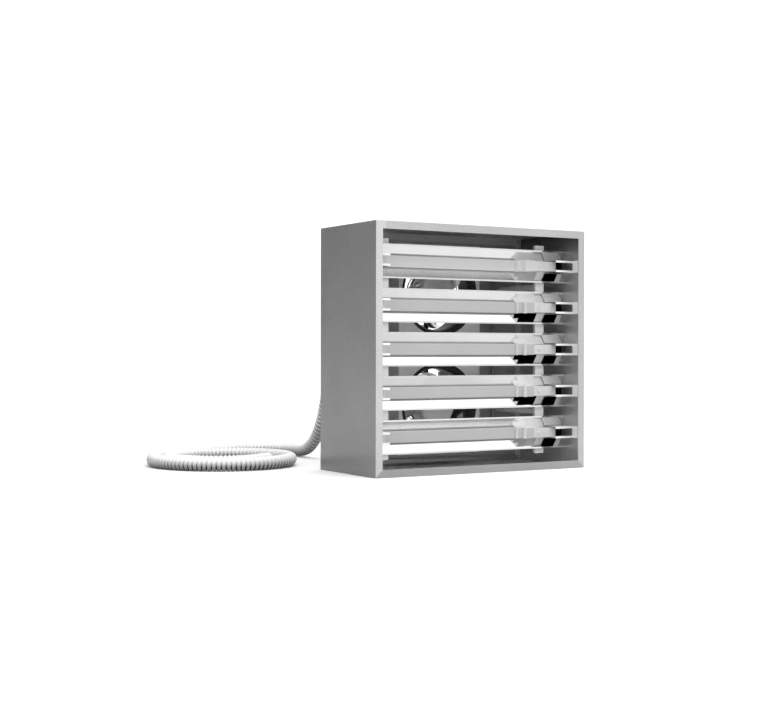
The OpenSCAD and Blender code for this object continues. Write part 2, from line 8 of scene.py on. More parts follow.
import bpy
import numpy as np
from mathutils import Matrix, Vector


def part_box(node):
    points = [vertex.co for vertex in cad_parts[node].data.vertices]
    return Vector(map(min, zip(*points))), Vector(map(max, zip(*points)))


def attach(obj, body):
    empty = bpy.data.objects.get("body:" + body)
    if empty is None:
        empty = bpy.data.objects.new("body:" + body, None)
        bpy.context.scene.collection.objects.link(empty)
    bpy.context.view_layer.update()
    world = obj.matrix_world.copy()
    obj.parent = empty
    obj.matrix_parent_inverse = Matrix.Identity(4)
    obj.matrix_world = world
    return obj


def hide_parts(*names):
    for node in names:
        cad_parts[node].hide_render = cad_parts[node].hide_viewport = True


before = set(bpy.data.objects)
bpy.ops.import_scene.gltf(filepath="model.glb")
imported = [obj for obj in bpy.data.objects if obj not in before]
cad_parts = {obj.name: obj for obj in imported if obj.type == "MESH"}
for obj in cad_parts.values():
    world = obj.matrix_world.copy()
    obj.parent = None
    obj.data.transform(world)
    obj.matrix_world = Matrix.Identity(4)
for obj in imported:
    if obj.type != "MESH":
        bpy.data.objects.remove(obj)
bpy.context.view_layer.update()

bl_info = {
    "name": "Infrared heater",
    "version": (1, 0, 0),
    "blender": (4, 5, 0),
    "location": "3D View > Sidebar > Heater",
    "description": "Builds the finishes and fine pieces of an infrared heater",
    "category": "Object",
}

MM = 0.001
FRONT_AXIS = np.array([0.0, -1.0, 0.0])
BACK_AXIS = np.array([0.0, 1.0, 0.0])
MODULES = range(1, 6)


# Sizes read from the solids

def low(node):
    """Lowest corner of a solid, in metres."""
    return np.array(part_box(node)[0])


def high(node):
    """Highest corner of a solid, in metres."""
    return np.array(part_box(node)[1])


def middle(node):
    """Middle of a solid's box, in metres."""
    return (low(node) + high(node)) / 2


PANEL_BACK = high("back_panel")[1]
PANEL_FACE = low("back_panel")[1]
MODULE_Z = [middle(f"emitter_{i}")[2] for i in MODULES]
MODULE_PITCH = MODULE_Z[0] - MODULE_Z[1]
CASE_HALF_W = high("case_right")[0]
CASE_HEIGHT = high("case_top")[2]
FANS = ("upper", "lower")
FAN_SCREW_CIRCLE = 83 * MM
FAN_SCREW_TURNS = np.radians([45, 135, 225, 315])
HEAD_HEIGHT = 2.2 * MM


# Zones of the finishes and of their painted light and shade

THICK_END = high("emitter_1")[0] - 30.7 * MM
# The painted shade under the bracket flanges stops this far from the middle, short of the side walls.
SHADE_END = 216.8 * MM
BRACKET_FOOT = 18 * MM
BRACKET_HALF_OPENING = 10 * MM
PANEL_SKIN = 0.7 * MM
PANEL_FOLD = 3 * MM
RIM_WIDTH = 20 * MM
SQUARE_ON = 0.7


# Colours and shader nodes

def linear(code):
    """Linear RGBA of an sRGB colour written as six hex digits; a linear colour comes back as it is."""
    if not isinstance(code, str):
        return list(code)
    parts = [int(code[i:i + 2], 16) / 255 for i in (0, 2, 4)]
    return [p / 12.92 if p <= 0.04045 else ((p + 0.055) / 1.055) ** 2.4 for p in parts] + [1.0]


def add(tree, kind, inputs=None, **settings):
    """Adds a shader node with settings, and sets or links its inputs."""
    made = tree.nodes.new("ShaderNode" + kind)
    for key, value in settings.items():
        setattr(made, key, value)
    for key, value in (inputs or {}).items():
        if isinstance(value, bpy.types.NodeSocket):
            tree.links.new(value, made.inputs[key])
        else:
            made.inputs[key].default_value = value
    return made


def new_material(name):
    """An empty node material and the tree in it."""
    material = bpy.data.materials.new(name)
    material.use_nodes = True
    material.node_tree.nodes.clear()
    return material, material.node_tree


def noise(tree, scale, detail=3.0, stretch=(1, 1, 1)):
    """Noise in object coordinates: scale is in waves per metre, stretch squeezes each axis."""
    place = add(tree, "TexCoord").outputs["Object"]
    placed = add(tree, "Mapping", {"Vector": place, "Scale": stretch}).outputs["Vector"]
    return add(tree, "TexNoise", {"Vector": placed, "Scale": scale, "Detail": detail}).outputs["Fac"]


def spread(tree, value, start, end, soft=(0.35, 0.65)):
    """Maps noise from its usual range to start..end."""
    inputs = {"Value": value, "From Min": soft[0], "From Max": soft[1], "To Min": start, "To Max": end}
    return add(tree, "MapRange", inputs).outputs["Result"]


def lighter(colour, factor):
    """A linear colour made lighter by a factor."""
    return [part * factor for part in colour[:3]] + [1.0]


def blend_colours(tree, value, first, second):
    """Colour between two colours by a value from 0 to 1."""
    ramp = add(tree, "ValToRGB", {"Fac": value})
    ramp.color_ramp.elements[0].color = linear(first)
    ramp.color_ramp.elements[1].color = linear(second)
    return ramp.outputs["Color"]


def by_mask(tree, mask, usual, other):
    """A value that is the other one where the mask is 1, or a plain number where both are the same."""
    return usual if usual == other else spread(tree, mask, usual, other, (0, 1))


def surface(name, colours, metallic, roughness, grain, stretch=(1, 1, 1), bump=0.02, cloud=9.0, coat=0.0,
            speckle=0.0, others=()):
    """A worn surface: colour drifts in clouds and speckles, roughness and bump follow a fine grain.

    grain and cloud are in waves per metre. A real grain is finer, and is drawn as coarse as it needs to
    show. others holds (mask, colours, metallic, shine) for the faces where each mask is 1, and a later
    one goes over an earlier one.
    """
    material, tree = new_material(name)
    clouds = noise(tree, cloud, 4.0)
    fine = noise(tree, grain, 2.0, stretch)
    colour = blend_colours(tree, spread(tree, clouds, 0, 1), *colours)
    shine = 0.5
    # In most finishes the others lay on painted light and shade: lighter or darker copies on faces by where
    # they look.
    for find_mask, second_colours, second_metallic, second_shine in others:
        mask = find_mask(tree)
        second = blend_colours(tree, spread(tree, clouds, 0, 1), *second_colours)
        colour = add(tree, "Mix", {"Factor": mask, 6: colour, 7: second}, data_type="RGBA").outputs[2]
        metallic = by_mask(tree, mask, metallic, second_metallic)
        shine = by_mask(tree, mask, shine, second_shine)
    if speckle:
        tone = spread(tree, fine, 1 - speckle, 1 + speckle)
        tone = add(tree, "CombineXYZ", {"X": tone, "Y": tone, "Z": tone}).outputs["Vector"]
        tinted = {"Factor": 1.0, 6: colour, 7: tone}
        colour = add(tree, "Mix", tinted, data_type="RGBA", blend_type="MULTIPLY").outputs[2]
    inputs = {
        "Base Color": colour,
        "Metallic": metallic,
        "Specular IOR Level": shine,
        "Roughness": spread(tree, fine, *roughness),
        "Coat Weight": coat,
        "Normal": add(tree, "Bump", {"Height": fine, "Strength": bump, "Distance": 0.001}).outputs["Normal"],
    }
    shader = add(tree, "BsdfPrincipled", inputs)
    add(tree, "OutputMaterial", {"Surface": shader.outputs["BSDF"]})
    return material


def compare(tree, value, kind, limit):
    """1 where a value is more (or less) than a limit."""
    return add(tree, "Math", {0: value, 1: limit}, operation=kind).outputs["Value"]


def place_of(tree):
    """The x, y and z sockets of the place on the object."""
    parts = add(tree, "SeparateXYZ", {"Vector": add(tree, "TexCoord").outputs["Object"]})
    return [parts.outputs[axis] for axis in "XYZ"]


def all_of(tree, masks):
    """The product of masks."""
    whole = masks[0]
    for mask in masks[1:]:
        whole = add(tree, "Math", {0: whole, 1: mask}, operation="MULTIPLY").outputs["Value"]
    return whole


def facing(tree, axis, kind, limit):
    """1 on faces whose normal's part along an axis is more (or less) than a limit."""
    normal = add(tree, "TexCoord").outputs["Normal"]
    return compare(tree, add(tree, "SeparateXYZ", {"Vector": normal}).outputs[axis], kind, limit)


def underside(tree):
    """1 on faces that look down."""
    return facing(tree, "Z", "LESS_THAN", -SQUARE_ON)


def top_side(tree):
    """1 on faces that look up."""
    return facing(tree, "Z", "GREATER_THAN", SQUARE_ON)


def left_side(tree):
    """1 on faces that look to the heater's left."""
    return facing(tree, "X", "LESS_THAN", -SQUARE_ON)


def front_side(tree):
    """1 on faces that look to the front."""
    return facing(tree, "Y", "LESS_THAN", -SQUARE_ON)


def thick_end(tree):
    """1 on an emitter's thick end."""
    return compare(tree, place_of(tree)[0], "GREATER_THAN", THICK_END)


def away_from(tree, value, centre):
    """How far a value is from a centre."""
    off = add(tree, "Math", {0: value, 1: centre}, operation="SUBTRACT").outputs["Value"]
    return add(tree, "Math", {0: off}, operation="ABSOLUTE").outputs["Value"]


def shaded_cap_underside(tree):
    """1 on the undersides of the three middle modules, which get painted shade."""
    from_third = away_from(tree, place_of(tree)[2], MODULE_Z[2])
    return all_of(tree, [underside(tree), compare(tree, from_third, "LESS_THAN", 1.5 * MODULE_PITCH)])


def thick_underside(tree):
    """1 on the underside of a middle module's thick end, which gets painted shade."""
    return all_of(tree, [shaded_cap_underside(tree), thick_end(tree)])


def first_module(tree):
    """1 on the top module's emitter, which gets painted light against the shade of the case top."""
    return compare(tree, place_of(tree)[2], "GREATER_THAN", MODULE_Z[0] - MODULE_PITCH / 2)


def thick_top(tree):
    """1 on the top of an emitter's thick end, which gets painted light."""
    return all_of(tree, [top_side(tree), thick_end(tree)])


def behind_bracket(tree):
    """1 on the part of each reflector's web that shows through a right hand bracket, which gets painted shade.
    """
    x, _, z = place_of(tree)
    above = add(tree, "Math", {0: z, 1: MODULE_Z[0]}, operation="SUBTRACT").outputs["Value"]
    from_module = add(tree, "Math", {0: above, 1: MODULE_PITCH / 2}, operation="PINGPONG").outputs["Value"]
    return all_of(tree, [compare(tree, x, "GREATER_THAN", high("terminal_block_1")[0]),
                         compare(tree, from_module, "LESS_THAN", BRACKET_HALF_OPENING)])


def shaded_bracket_underside(tree):
    """1 on the underside of a bracket's flanges, short of the side walls, which gets painted shade."""
    from_middle = away_from(tree, place_of(tree)[0], 0)
    return all_of(tree, [underside(tree), compare(tree, from_middle, "LESS_THAN", SHADE_END)])


def bracket_web(tree):
    """1 on the inner face of a right hand bracket, behind its lips, which gets painted shade."""
    back = low("bracket_right_1")[1] + BRACKET_FOOT
    return all_of(tree, [left_side(tree), compare(tree, place_of(tree)[1], "GREATER_THAN", back)])


def inside_case(tree):
    """1 on the case's inner faces, which lie more than a skin in from its outer ones."""
    x, y, z = place_of(tree)
    return all_of(tree, [
        compare(tree, away_from(tree, x, 0), "LESS_THAN", CASE_HALF_W - PANEL_SKIN),
        compare(tree, z, "GREATER_THAN", PANEL_SKIN),
        compare(tree, z, "LESS_THAN", CASE_HEIGHT - PANEL_SKIN),
        compare(tree, y, "GREATER_THAN", low("case_right")[1] + PANEL_SKIN),
    ])


def inside_right(tree):
    """1 on the inner face of the right panel."""
    return all_of(tree, [inside_case(tree), left_side(tree)])


def right_under_top(tree):
    """Rises from 0 to 1 up the inner face of the right panel, from the top module to the top: the strength of
    the painted shadow under the top.
    """
    rising = spread(tree, place_of(tree)[2], 0, 1, (MODULE_Z[0], CASE_HEIGHT))
    return all_of(tree, [inside_right(tree), rising])


def inside_top(tree):
    """1 on the inner face of the top."""
    return all_of(tree, [inside_case(tree), underside(tree)])


def inside_bottom(tree):
    """1 on the inner face of the bottom."""
    return all_of(tree, [inside_case(tree), top_side(tree)])


def left_rim(tree):
    """1 on the front of the left rim."""
    x = place_of(tree)[0]
    return all_of(tree, [front_side(tree), compare(tree, x, "LESS_THAN", RIM_WIDTH - CASE_HALF_W)])


def bottom_rim(tree):
    """1 on the front of the bottom rim, up to its mitres."""
    x, _, z = place_of(tree)
    to_mitre = add(tree, "Math", {0: away_from(tree, x, 0), 1: z}, operation="ADD").outputs["Value"]
    return all_of(tree, [front_side(tree), compare(tree, z, "LESS_THAN", RIM_WIDTH),
                         compare(tree, to_mitre, "LESS_THAN", CASE_HALF_W)])


def lit_front_lining(tree):
    """1 on the front part of the inner faces of top and bottom, which get painted light."""
    _, y, z = place_of(tree)
    half = CASE_HEIGHT / 2
    return all_of(tree, [inside_case(tree), compare(tree, y, "LESS_THAN", low("reflector_1")[1]),
                         compare(tree, away_from(tree, z, half), "GREATER_THAN", half - PANEL_FOLD)])


# Finishes, several with painted light and shade by face

# Near black painted shade, for undersides that lie in shade.
PAINTED_SHADE_BLACK = ("020202", "040404")


def case_steel(colour):
    """Satin sheet steel: a fine speckle and faint clouds, with painted light on the inner faces, the inner
    bottom, the front of the inner top and bottom and the left rim, painted shade on the outer left side, the
    inner top, the bottom rim and the inner right panel, and a painted shadow under the top on the inner right
    panel.
    """
    # Painted light and shade: lighter and darker copies of the steel on faces by where they look.
    others = (
        (inside_case, ("D2D2D3", "DADADB"), 0.25, 0.5),
        (left_side, ("A0A0A1", "A9A9AA"), 0.6, 0.5),
        (inside_top, ("C2C2C2", "CACACA"), 0.2, 0.5),
        (inside_bottom, ("FAFAFA", "FEFEFE"), 0.45, 0.5),
        (left_rim, ("CECECF", "D6D6D7"), 0.6, 0.5),
        (bottom_rim, ("A6A6A7", "AFAFB0"), 0.6, 0.5),
        (inside_right, ("B0B0B1", "B8B8B9"), 0.5, 0.5),
        (right_under_top, ("3A3A3B", "444445"), 0.3, 0.5),
        (lit_front_lining, ("FAFAFA", "FEFEFE"), 0.0, 0.5),
    )
    clouds = (colour, lighter(colour, 1.11))
    return surface("case_steel", clouds, 0.6, (0.28, 0.38), 420, bump=0.12, cloud=7, speckle=0.09,
                   others=others)


def panel_steel():
    """Duller sheet steel of the back panel."""
    return surface("panel_steel", ("B4B4B5", "C0C0C1"), 0.5, (0.40, 0.55), 500, bump=0.06, speckle=0.06)


def zinc_steel():
    """Dull zinc plate of rails, posts and tray."""
    return surface("zinc_steel", ("F2F2F2", "FAFAFA"), 0.1, (0.35, 0.5), 500, bump=0.03, cloud=25,
                   speckle=0.04)


def mirror_aluminium():
    """Polished reflector sheet with faint rolling lines along it, and near black painted shade on the web
    where it shows through the right hand brackets.
    """
    return surface("mirror_aluminium", ("EDEDED", "F4F4F4"), 1.0, (0.05, 0.09), 240, (0.04, 1, 1), 0.01, 14,
                   others=((behind_bracket, ("161616", "202020"), 0.0, 0.2),))


def coated_quartz():
    """White coated quartz, smooth and opaque, with painted light on the top module's emitter, on the tops of
    the thick ends and on the faces that look left, and near black painted shade under the thick ends of the
    three middle modules.
    """
    others = (
        (first_module, ("CBCBCB", "CECECE"), 0.0, 0.5),
        (thick_underside, PAINTED_SHADE_BLACK, 0.0, 0.0),
        (thick_top, ("F4F4F4", "FAFAFA"), 0.0, 0.5),
        (left_side, ("F8F8F8", "FCFCFC"), 0.0, 0.5),
    )
    return surface("coated_quartz", ("B2B2B2", "B5B5B5"), 0.0, (0.42, 0.48), 160, (0.2, 1, 1), 0.0, 12,
                   others=others)


def cap_ceramic():
    """Unglazed white ceramic of the emitter caps."""
    return surface("cap_ceramic", ("C8C8C8", "CECECE"), 0.0, (0.45, 0.6), 1500, bump=0.05, cloud=40)


def bracket_steel():
    """Bright folded steel of the end brackets, with near black painted shade under the flanges, grey painted
    shade on the inner face behind the lips, and painted light on the tops and on the faces that look left.
    """
    others = (
        (shaded_bracket_underside, PAINTED_SHADE_BLACK, 0.0, 0.0),
        (top_side, ("F0F0F0", "F8F8F8"), 0.1, 0.5),
        (left_side, ("F8F8F8", "FEFEFE"), 0.0, 0.5),
        (bracket_web, ("7A7A7A", "848484"), 0.0, 0.3),
    )
    return surface("bracket_steel", ("FAFAFA", "FEFEFE"), 0.0, (0.30, 0.42), 600, bump=0.03, cloud=30,
                   others=others)


def fan_paint():
    """Satin black of the fan frames."""
    return surface("fan_paint", ("17181A", "222326"), 0.0, (0.38, 0.55), 1200, bump=0.12, cloud=30)


def hub_paint():
    """Dull light grey of the rotor cups."""
    return surface("hub_paint", ("E4E4E5", "F0F0F1"), 0.1, (0.45, 0.6), 900, bump=0.08, cloud=30)


def lead_ceramic():
    """The same ceramic on the lead caps, with near black painted shade underneath on the three middle modules
    and painted light on the tops.
    """
    others = ((shaded_cap_underside, PAINTED_SHADE_BLACK, 0.0, 0.0), (top_side, ("F0F0F0", "F8F8F8"), 0.0, 0.5))
    return surface("lead_ceramic", ("C8C8C8", "CECECE"), 0.0, (0.45, 0.6), 1500, bump=0.05, cloud=40,
                   others=others)


def block_ceramic():
    """White glazed body of the terminal blocks, with painted light underneath and on the tops."""
    others = ((underside, ("FCFCFC", "FFFFFF"), 0.0, 0.5), (top_side, ("F0F0F0", "F8F8F8"), 0.0, 0.5))
    return surface("block_ceramic", ("D4D4D4", "DADADA"), 0.0, (0.35, 0.5), 1200, bump=0.03, cloud=60,
                   others=others)


def lead_jacket():
    """Grey silicone jacket of the leads."""
    return surface("lead_jacket", ("8E8E8E", "9C9C9C"), 0.0, (0.4, 0.55), 1500, bump=0.03, cloud=80)


def impeller_metal():
    """Bright plated impeller sheet."""
    return surface("impeller_metal", ("C8CACC", "E2E3E5"), 1.0, (0.12, 0.22), 300, bump=0.02, cloud=25)


def plated_wire():
    """Bright plated wire of the finger guards."""
    return surface("plated_wire", ("C4C6C8", "DADBDD"), 1.0, (0.14, 0.24), 900, bump=0.02, cloud=60)


def fastener_steel():
    """Zinc plated screws, rivets and nuts."""
    return surface("fastener_steel", ("A9ABAD", "C6C7C8"), 1.0, (0.25, 0.4), 1800, bump=0.05, cloud=120)


def bright_zinc():
    """Zinc of the cap screws, painted nearly as light as the ceramic: a lighter copy of the screws' zinc that
    stands in for their highlight.
    """
    return surface("bright_zinc", ("D6D6D6", "DEDEDE"), 0.1, (0.25, 0.35), 1800, bump=0.03, cloud=120)


def nickel():
    """Nickel plated brass of gland and fittings."""
    return surface("nickel", ("B9B7B0", "CFCDC6"), 1.0, (0.18, 0.30), 1500, bump=0.03, cloud=60)


def resistance_wire():
    """Brown oxidised heating wire."""
    return surface("resistance_wire", ("4A3B30", "6B5544"), 0.9, (0.4, 0.6), 2500, bump=0.1, cloud=200)


def low_side(tree):
    """Rises from 0 on the faces that look up to 1 on those that look down: where painted shade goes on the
    conduit.
    """
    normal = add(tree, "TexCoord").outputs["Normal"]
    return spread(tree, add(tree, "SeparateXYZ", {"Vector": normal}).outputs["Z"], 1, 0, (-0.35, 0.6))


def conduit_metal(colour):
    """Light grey conduit, smooth and glossy on the crests, with painted shade on its low side."""
    clouds = (colour, lighter(colour, 1.037))
    return surface("conduit_metal", clouds, 0.1, (0.26, 0.34), 400, bump=0.01, cloud=20, coat=0.4,
                   others=((low_side, ("9A9A9A", "A4A4A4"), 0.4, 0.5),))


def groove_metal():
    """The conduit's grooves, with painted shade in them: a little darker than the crests, near black on the
    conduit's low side.
    """
    return surface("groove_metal", ("F0F0F0", "F6F6F6"), 0.1, (0.5, 0.6), 400, bump=0.02, cloud=20,
                   others=((low_side, ("2C2C2C", "363636"), 0.2, 0.5),))


# Meshes by formula

def lattice(rows, columns, wrap_rows=False, wrap_columns=True, start=0):
    """Quads between the points of a lattice stored row by row."""
    quads = []
    for r in range(rows if wrap_rows else rows - 1):
        for c in range(columns if wrap_columns else columns - 1):
            r2, c2 = (r + 1) % rows, (c + 1) % columns
            quads.append([start + r * columns + c, start + r * columns + c2,
                          start + r2 * columns + c2, start + r2 * columns + c])
    return quads


def joined(shapes):
    """One shape from several (points, faces) pairs."""
    points, faces, base = [], [], 0
    for shape_points, shape_faces in shapes:
        points.append(np.asarray(shape_points, float))
        faces += [[base + i for i in face] for face in shape_faces]
        base += len(shape_points)
    return np.concatenate(points), faces


def across(axis):
    """Two unit vectors square to an axis and to each other."""
    axis = axis / np.linalg.norm(axis)
    side = np.cross(axis, [0.0, 0.0, 1.0])
    if np.linalg.norm(side) < 0.1:
        side = np.cross(axis, [1.0, 0.0, 0.0])
    side = side / np.linalg.norm(side)
    return side, np.cross(axis, side)


def lathe(profile, base, axis, sides=48, phase=0.0):
    """Turns (radius, height) points about an axis from base: p = base + h*axis + r*(cos a, sin a)."""
    axis = np.asarray(axis, float)
    side, up = across(axis)
    turn = phase + 2 * math.pi * np.arange(sides) / sides
    rim = np.outer(np.cos(turn), side) + np.outer(np.sin(turn), up)
    points = [np.asarray(base) + h * axis + max(r, 1e-6) * rim for r, h in profile]
    faces = lattice(len(profile), sides)
    faces.append(list(range(sides))[::-1])
    faces.append([(len(profile) - 1) * sides + k for k in range(sides)])
    return np.concatenate(points), faces


def tube(path, radii, sides=16):
    """A round tube along a path: each ring is square to the path and carried on without twist."""
    path = np.asarray(path, float)
    ways = np.gradient(path, axis=0)
    ways /= np.linalg.norm(ways, axis=1)[:, None]
    side = across(ways[0])[0]
    turn = 2 * math.pi * np.arange(sides) / sides
    points = []
    for place, way, radius in zip(path, ways, np.broadcast_to(radii, len(path))):
        side = side - way * (side @ way)
        side /= np.linalg.norm(side)
        up = np.cross(way, side)
        points.append(place + radius * (np.outer(np.cos(turn), side) + np.outer(np.sin(turn), up)))
    faces = lattice(len(path), sides)
    faces.append(list(range(sides))[::-1])
    faces.append([(len(path) - 1) * sides + k for k in range(sides)])
    return np.concatenate(points), faces


def block(lowest, highest):
    """A box between two corners."""
    a, b = np.asarray(lowest, float), np.asarray(highest, float)
    points = [[(a, b)[i][0], (a, b)[j][1], (a, b)[k][2]] for i in (0, 1) for j in (0, 1) for k in (0, 1)]
    return points, [[0, 1, 3, 2], [4, 6, 7, 5], [0, 4, 5, 1], [2, 3, 7, 6], [0, 2, 6, 4], [1, 5, 7, 3]]


def ring(centre, axis, radius, wire, sides=96, around=12):
    """A closed ring of round wire about an axis: p = centre + R*out + wire*(cos b * out + sin b * axis)."""
    axis = np.asarray(axis, float)
    side, up = across(axis)
    points = []
    for turn in 2 * math.pi * np.arange(sides) / sides:
        out = math.cos(turn) * side + math.sin(turn) * up
        bend = 2 * math.pi * np.arange(around) / around
        section = np.outer(np.cos(bend), out) + np.outer(np.sin(bend), axis)
        points.append(np.asarray(centre) + radius * out + wire * section)
    return np.concatenate(points), lattice(sides, around, wrap_rows=True)


def slab(front, back):
    """A closed sheet between two equal grids of points, each rows x columns x 3."""
    rows, columns = front.shape[:2]
    count = rows * columns
    faces = lattice(rows, columns, wrap_columns=False)
    faces += [face[::-1] for face in lattice(rows, columns, wrap_columns=False, start=count)]
    edge = [c for c in range(columns)] + [r * columns + columns - 1 for r in range(1, rows)]
    edge += [(rows - 1) * columns + c for c in range(columns - 2, -1, -1)]
    edge += [r * columns for r in range(rows - 2, 0, -1)]
    for here, after in zip(edge, edge[1:] + edge[:1]):
        faces.append([after, here, here + count, after + count])
    return np.concatenate([front.reshape(-1, 3), back.reshape(-1, 3)]), faces


def rod(start, end, radius, sides=24):
    """A straight round bar with softened ends."""
    start, end = np.asarray(start, float), np.asarray(end, float)
    length = np.linalg.norm(end - start)
    soft = 0.12 * radius
    profile = [(radius - soft, 0), (radius, soft), (radius, length - soft), (radius - soft, length)]
    return lathe(profile, start, (end - start) / length, sides)


def screw_head(base, axis, radius, height, sides=40, rings=14):
    """A pan head with a cross recess: h(r) = height * (1 - 0.35*(r/R)^4), less the cross."""
    axis = np.asarray(axis, float)
    side, up = across(axis)
    turn = 2 * math.pi * np.arange(sides) / sides
    points = [np.asarray(base) + radius * (np.outer(np.cos(turn), side) + np.outer(np.sin(turn), up))]
    for share in np.linspace(1, 0.001, rings):
        x, y = share * radius * np.cos(turn), share * radius * np.sin(turn)
        arm = np.minimum(abs(x), abs(y)) < 0.13 * radius
        near = share < 0.62
        top = height * (1 - 0.35 * share ** 4) - np.where(arm & near, 0.55 * height * (1 - share), 0)
        top = top * (0.72 if share == 1 else 1)
        points.append(np.asarray(base) + np.outer(x, side) + np.outer(y, up) + np.outer(top, axis))
    faces = lattice(rings + 1, sides)
    faces.append([rings * sides + k for k in range(sides)])
    faces.append(list(range(sides))[::-1])
    return np.concatenate(points), faces


# Pieces

def piece(name, shape, material, replaced=(), body="root", sharp=35, bevel=0.0):
    """A mesh object with one material that rides on a body and stands for some solids."""
    points, faces = shape
    mesh = bpy.data.meshes.new(name)
    mesh.from_pydata(np.asarray(points).tolist(), [], faces)
    mesh.polygons.foreach_set("use_smooth", np.ones(len(mesh.polygons), bool))
    mesh.set_sharp_from_angle(angle=math.radians(sharp))
    mesh.materials.append(material)
    made = bpy.data.objects.new(name, mesh)
    bpy.context.scene.collection.objects.link(made)
    if bevel:
        soften(made, bevel)
    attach(made, body)
    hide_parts(*replaced)
    return made


def soften(obj, width, segments=2, angle=35):
    """Rounds an object's sharp edges."""
    rounding = obj.modifiers.new("round", "BEVEL")
    rounding.width = width
    rounding.segments = segments
    rounding.limit_method = "ANGLE"
    rounding.angle_limit = math.radians(angle)


def dress(name, material, bevel=0.0):
    """Gives a solid that stays its finish, and rounds its edges."""
    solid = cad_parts[name]
    solid.data.materials.clear()
    solid.data.materials.append(material)
    if bevel:
        weld = solid.modifiers.new("weld", "WELD")
        weld.merge_threshold = 0.01 * MM
        flat = solid.modifiers.new("flat", "DECIMATE")
        flat.decimate_type = "DISSOLVE"
        flat.angle_limit = math.radians(1)
        soften(solid, bevel)


# The conduit's route, as in the part's source: metres and degrees, and millimetres in RISER_PLACES

GLAND = np.array([-0.121, 0.130, 0.265])
CONDUIT_D = 0.025
CONDUIT_SIDES = 26
COIL_CENTRE = np.array([-0.341, 0.272])
COIL_DRIFT = np.array([-0.004, 0.014])
COIL_RADIUS = 0.144
COIL_STEP = 0.037
COIL_START = 150
COIL_TURNS = 1.42
FLOOR = CONDUIT_D / 2
TOP = GLAND[2] / MM
REST = FLOOR / MM
RISER_PLACES = [
    [0, 0, TOP], [0, 15, TOP], [0, 30, TOP], [0, 58, TOP - 4], [0, 85, TOP - 16],
    [0, 107, TOP - 36], [0, 122, TOP - 61], [0, 133, TOP - 89], [0, 143, TOP - 117], [0, 153, TOP - 145],
    [0, 164, 91], [0, 182, 60], [0, 203, 37], [0, 229, 21], [0, 257, 14],
    [-3, 287, 13], [-14, 314, REST], [-33, 337, REST],
    [-58, 353, REST], [-87, 361, REST], [-118, 362, REST], [-149, 361, REST], [-181, 356, REST],
    [-213, 347, REST], [-244, 333, REST], [-273, 313, REST], [-298, 288, REST],
]
RISER = [[GLAND[0] + x * MM, GLAND[1] + y * MM, z * MM] for x, y, z in RISER_PLACES]


def coil_point(turned):
    """Centre line of the coil after so many degrees: the radius shrinks and the middle drifts, steadily."""
    radius = COIL_RADIUS - COIL_STEP * turned / 360
    centre = COIL_CENTRE + COIL_DRIFT * turned / 360
    angle = math.radians(COIL_START + turned)
    return np.array([centre[0] + radius * math.cos(angle), centre[1] + radius * math.sin(angle), FLOOR])


def heading(degrees):
    """Unit vector along the coil at an angle."""
    return np.array([-math.sin(math.radians(degrees)), math.cos(math.radians(degrees)), 0.0])


def smooth(points, steps):
    """A curve through every point: b + t(c-a)/2 + t^2(2a-5b+4c-d)/2 + t^3(3b-a-3c+d)/2."""
    points = np.asarray(points, float)
    last = len(points) - 1
    made = []
    for i in range(last):
        a, b, c, d = points[max(i - 1, 0)], points[i], points[i + 1], points[min(i + 2, last)]
        for t in np.arange(steps) / steps:
            made.append(0.5 * (2 * b + (c - a) * t + (2 * a - 5 * b + 4 * c - d) * t * t
                               + (3 * b - a - 3 * c + d) * t ** 3))
    return np.array(made + [points[last]])


def conduit_path():
    """The whole centre line: the riser, the coil's straight start, its spiral and its straight end."""
    start_way = heading(COIL_START)
    meeting = coil_point(0) - CONDUIT_D * start_way
    before = meeting - CONDUIT_D * start_way
    riser = smooth(RISER + [before, meeting], 8)[:-9]
    riser[:, 2] = np.maximum(riser[:, 2], FLOOR)
    straight = before + np.outer(np.linspace(0, 2 * CONDUIT_D, 12, endpoint=False), start_way)
    turned = np.linspace(0, 360 * COIL_TURNS, 220)
    spiral = np.array([coil_point(t) for t in turned])
    end_way = heading(COIL_START + 360 * COIL_TURNS)
    tail = spiral[-1] + np.outer(np.linspace(0, CONDUIT_D, 5)[1:], end_way)
    return np.concatenate([riser, straight, spiral, tail])


def elbow(start, corner, end, radius, steps=8):
    """Two straight stretches and an arc: c - v*r*cos(t) + u*r*sin(t), with c = corner + (v - u)*r."""
    start, corner, end = (np.asarray(place, float) for place in (start, corner, end))
    inward = (corner - start) / np.linalg.norm(corner - start)
    onward = (end - corner) / np.linalg.norm(end - corner)
    centre = corner + radius * (onward - inward)
    turned = np.linspace(0, math.pi / 2, steps)[:, None]
    arc = centre - radius * np.cos(turned) * onward + radius * np.sin(turned) * inward
    return np.concatenate([[start], arc, [end]])


def evenly(path, step):
    """The same line in even steps."""
    along = np.concatenate([[0], np.cumsum(np.linalg.norm(np.diff(path, axis=0), axis=1))])
    count = int(round(along[-1] / step)) + 1
    places = np.linspace(0, along[-1], count)
    return np.stack([np.interp(places, along, path[:, k]) for k in range(3)], axis=1), places


# Settings

